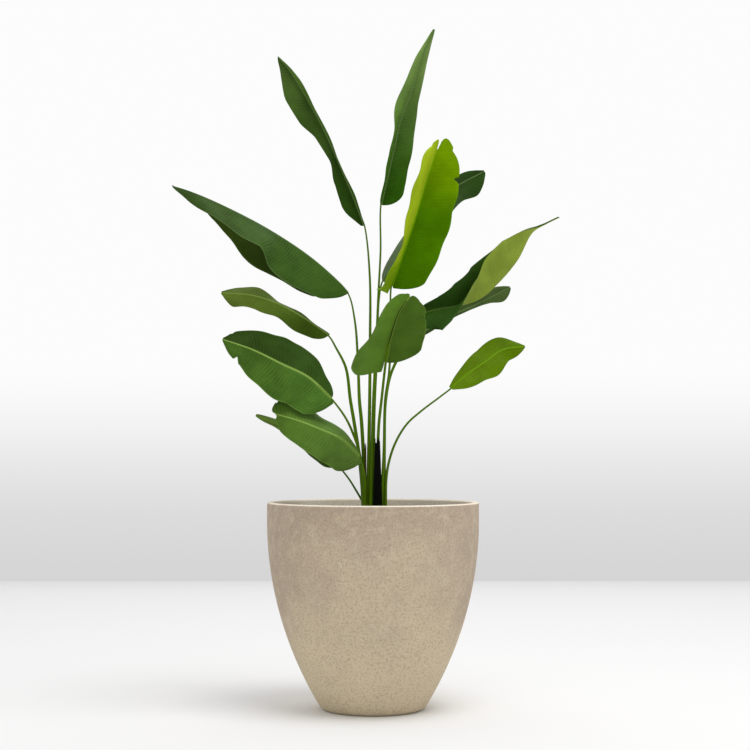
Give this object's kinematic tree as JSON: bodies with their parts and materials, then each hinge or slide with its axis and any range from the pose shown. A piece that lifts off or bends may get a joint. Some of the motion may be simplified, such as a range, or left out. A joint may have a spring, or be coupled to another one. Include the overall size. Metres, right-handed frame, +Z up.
{
  "type": "potted banana plant",
  "caption": "Tall plant with long paddle-shaped leaves on slender stalks, standing in a round tapered planter with a rounded lip.",
  "frame": {"origin": "middle of the pot's flat underside, on the surface that it stands on", "axes": "+Z up along the pot's axis, -Y towards the front, +X to the right seen from the front"},
  "size_m": [0.9165, 0.5, 1.593],
  "materials": {
    "planter": "matt fibre-clay, finely speckled, with soft pinkish and pale mottling",
    "soil": "crumbly dark potting soil",
    "leaf_green": "satin leaf with fine raised cross veins, paler below",
    "leaf_dark": "satin dark green leaf with fine raised cross veins, paler below",
    "leaf_bright": "young bright yellow-green leaf, satin, light shines through it",
    "stalk": "smooth satin light green leaf stalk",
    "dry_leaf": "dry blackened leaf sheath with fine lengthwise fibres"
  },
  "bodies": {
    "root": {"pot": "planter", "soil": "soil", "leaf_high_left_blade": "leaf_dark", "leaf_high_left_stalk": "stalk", "leaf_top_blade": "leaf_green", "leaf_top_stalk": "stalk", "leaf_bright_blade": "leaf_bright", "leaf_bright_stalk": "stalk", "leaf_behind_bright_blade": "leaf_dark", "leaf_behind_bright_stalk": "stalk", "leaf_right_large_blade": "leaf_dark", "leaf_right_large_stalk": "stalk", "leaf_right_behind_blade": "leaf_dark", "leaf_right_behind_stalk": "stalk", "leaf_left_folded_blade": "leaf_green", "leaf_left_folded_stalk": "stalk", "leaf_drooping_blade": "leaf_green", "leaf_drooping_stalk": "stalk", "leaf_left_narrow_blade": "leaf_green", "leaf_left_narrow_stalk": "stalk", "leaf_left_broad_blade": "leaf_green", "leaf_left_broad_stalk": "stalk", "leaf_low_left_blade": "leaf_green", "leaf_low_left_stalk": "stalk", "leaf_hidden_left_blade": "leaf_dark", "leaf_hidden_left_stalk": "stalk", "leaf_right_low_blade": "leaf_bright", "leaf_right_low_stalk": "stalk", "old_sheath_large": "dry_leaf", "old_sheath_small": "dry_leaf"}
  },
  "joints": []
}
